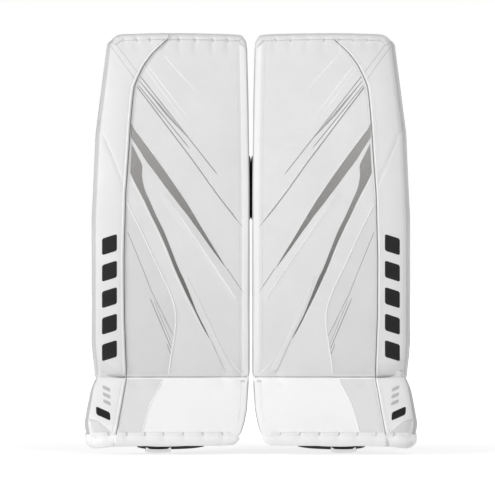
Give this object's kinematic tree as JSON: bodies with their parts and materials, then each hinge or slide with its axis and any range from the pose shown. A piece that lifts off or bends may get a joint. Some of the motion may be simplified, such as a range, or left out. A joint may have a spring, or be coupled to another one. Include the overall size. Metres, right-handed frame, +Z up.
{
  "type": "goalie leg pads",
  "caption": "Pair of ice-hockey goalie leg pads: padded shin and thigh faces with raised outside rolls, angled boots, knee stacks, calf wraps and straps.",
  "frame": {"origin": "The middle of the right pad's leg channel, where the wearer's shin holds the pad up.", "axes": "+Z up along the shins, -Y the way the pads face, +X towards the wearer's left pad. Each pad is turned 5 degrees about +Z, its face a little towards the other pad."},
  "size_m": [0.5938, 0.2873, 0.741],
  "materials": {
    "white_cover": "satin",
    "black_cover": "satin",
    "black_liner": "woven",
    "grey_cushion": "brushed",
    "foam": "matte",
    "black_webbing": "woven",
    "white_webbing": "woven",
    "hook_tab": "matte"
  },
  "bodies": {
    "right_shin": {"right_shin_core": "foam", "right_shin_face": "white_cover", "right_shin_roll": "white_cover", "right_shin_liner": "black_liner", "right_shin_cushion": "grey_cushion", "right_knee_cradle": "grey_cushion", "right_knee_block": "black_cover", "right_knee_riser": "black_cover", "right_inner_calf_wrap": "white_cover"},
    "right_thigh": {"right_thigh_core": "foam", "right_thigh_face": "white_cover", "right_thigh_roll": "white_cover", "right_thigh_liner": "black_liner", "right_top_binding": "white_cover"},
    "right_boot": {"right_boot_core": "foam", "right_boot_face": "white_cover", "right_boot_roll": "white_cover", "right_boot_liner": "black_liner", "right_bottom_binding": "white_cover", "right_inner_ankle_wing": "white_cover", "right_outer_ankle_wing": "white_cover", "right_toe_bridge": "black_webbing"},
    "right_calf_wrap": {"right_outer_calf_wrap": "white_cover"},
    "right_calf_strap": {"right_calf_strap": "black_webbing", "right_calf_strap_tab": "hook_tab"},
    "right_knee_wing": {"right_knee_wing": "white_cover"},
    "right_knee_strap": {"right_knee_strap": "black_webbing", "right_knee_strap_tab": "hook_tab"},
    "right_boot_strap": {"right_boot_strap": "black_webbing"},
    "right_toe_loop": {"right_toe_loop": "white_webbing"},
    "left_shin": {"left_shin_core": "foam", "left_shin_face": "white_cover", "left_shin_roll": "white_cover", "left_shin_liner": "black_liner", "left_shin_cushion": "grey_cushion", "left_knee_cradle": "grey_cushion", "left_knee_block": "black_cover", "left_knee_riser": "black_cover", "left_inner_calf_wrap": "white_cover"},
    "left_thigh": {"left_thigh_core": "foam", "left_thigh_face": "white_cover", "left_thigh_roll": "white_cover", "left_thigh_liner": "black_liner", "left_top_binding": "white_cover"},
    "left_boot": {"left_boot_core": "foam", "left_boot_face": "white_cover", "left_boot_roll": "white_cover", "left_boot_liner": "black_liner", "left_bottom_binding": "white_cover", "left_inner_ankle_wing": "white_cover", "left_outer_ankle_wing": "white_cover", "left_toe_bridge": "black_webbing"},
    "left_calf_wrap": {"left_outer_calf_wrap": "white_cover"},
    "left_calf_strap": {"left_calf_strap": "black_webbing", "left_calf_strap_tab": "hook_tab"},
    "left_knee_wing": {"left_knee_wing": "white_cover"},
    "left_knee_strap": {"left_knee_strap": "black_webbing", "left_knee_strap_tab": "hook_tab"},
    "left_boot_strap": {"left_boot_strap": "black_webbing"},
    "left_toe_loop": {"left_toe_loop": "white_webbing"}
  },
  "joints": [
    {"name": "right_knee_flex", "type": "hinge", "parent": "right_shin", "child": "right_thigh", "pos_m": [0.00353, -0.09778, 0.286], "axis": [-0.9962, -0.0872, 0], "range_deg": [0, 8], "stiffness_Nm_per_rad": 30},
    {"name": "right_boot_flex", "type": "hinge", "parent": "right_shin", "child": "right_boot", "pos_m": [0.00461, -0.11002, -0.139], "axis": [-0.9962, -0.0872, 0], "range_deg": [-12, 15], "stiffness_Nm_per_rad": 15},
    {"name": "right_calf_wrap_open", "type": "hinge", "parent": "right_shin", "child": "right_calf_wrap", "pos_m": [-0.11583, -0.06434, 0.001], "axis": [0, 0, 1], "range_deg": [0, 85]},
    {"name": "right_calf_strap_peel", "type": "hinge", "parent": "right_calf_wrap", "child": "right_calf_strap", "pos_m": [-0.10177, 0.05032, 0.001], "axis": [0, 0, 1], "range_deg": [0, 120]},
    {"name": "right_knee_wing_open", "type": "hinge", "parent": "right_shin", "child": "right_knee_wing", "pos_m": [-0.10882, -0.05269, 0.206], "axis": [0, 0, 1], "range_deg": [0, 80]},
    {"name": "right_knee_strap_peel", "type": "hinge", "parent": "right_knee_wing", "child": "right_knee_strap", "pos_m": [-0.09491, 0.0178, 0.209], "axis": [0, 0, 1], "range_deg": [0, 120]},
    {"name": "right_boot_strap_peel", "type": "hinge", "parent": "right_boot", "child": "right_boot_strap", "pos_m": [-0.11344, -0.04576, -0.18], "axis": [-0.05, 0.5713, 0.8192], "range_deg": [0, 100]},
    {"name": "right_toe_loop_swing", "type": "hinge", "parent": "right_boot", "child": "right_toe_loop", "pos_m": [-0.01192, -0.1736, -0.266], "axis": [0.9962, 0.0872, 0], "range_deg": [-15, 15]},
    {"name": "left_knee_flex", "type": "hinge", "parent": "left_shin", "child": "left_thigh", "pos_m": [0.28962, -0.09778, 0.286], "axis": [-0.9962, 0.0872, 0], "range_deg": [0, 8], "stiffness_Nm_per_rad": 30},
    {"name": "left_boot_flex", "type": "hinge", "parent": "left_shin", "child": "left_boot", "pos_m": [0.28854, -0.11002, -0.139], "axis": [-0.9962, 0.0872, 0], "range_deg": [-12, 15], "stiffness_Nm_per_rad": 15},
    {"name": "left_calf_wrap_open", "type": "hinge", "parent": "left_shin", "child": "left_calf_wrap", "pos_m": [0.40898, -0.06434, 0.001], "axis": [0, 0, -1], "range_deg": [0, 85]},
    {"name": "left_calf_strap_peel", "type": "hinge", "parent": "left_calf_wrap", "child": "left_calf_strap", "pos_m": [0.39492, 0.05032, 0.001], "axis": [0, 0, -1], "range_deg": [0, 120]},
    {"name": "left_knee_wing_open", "type": "hinge", "parent": "left_shin", "child": "left_knee_wing", "pos_m": [0.40197, -0.05269, 0.206], "axis": [0, 0, -1], "range_deg": [0, 80]},
    {"name": "left_knee_strap_peel", "type": "hinge", "parent": "left_knee_wing", "child": "left_knee_strap", "pos_m": [0.38806, 0.0178, 0.209], "axis": [0, 0, -1], "range_deg": [0, 120]},
    {"name": "left_boot_strap_peel", "type": "hinge", "parent": "left_boot", "child": "left_boot_strap", "pos_m": [0.40659, -0.04576, -0.18], "axis": [-0.05, -0.5713, -0.8192], "range_deg": [0, 100]},
    {"name": "left_toe_loop_swing", "type": "hinge", "parent": "left_boot", "child": "left_toe_loop", "pos_m": [0.30507, -0.1736, -0.266], "axis": [0.9962, -0.0872, 0], "range_deg": [-15, 15]},
    {"name": "pads_apart", "type": "slide", "parent": "right_shin", "child": "left_shin", "axis": [1, 0, 0], "range_m": [0, 0.3]}
  ]
}
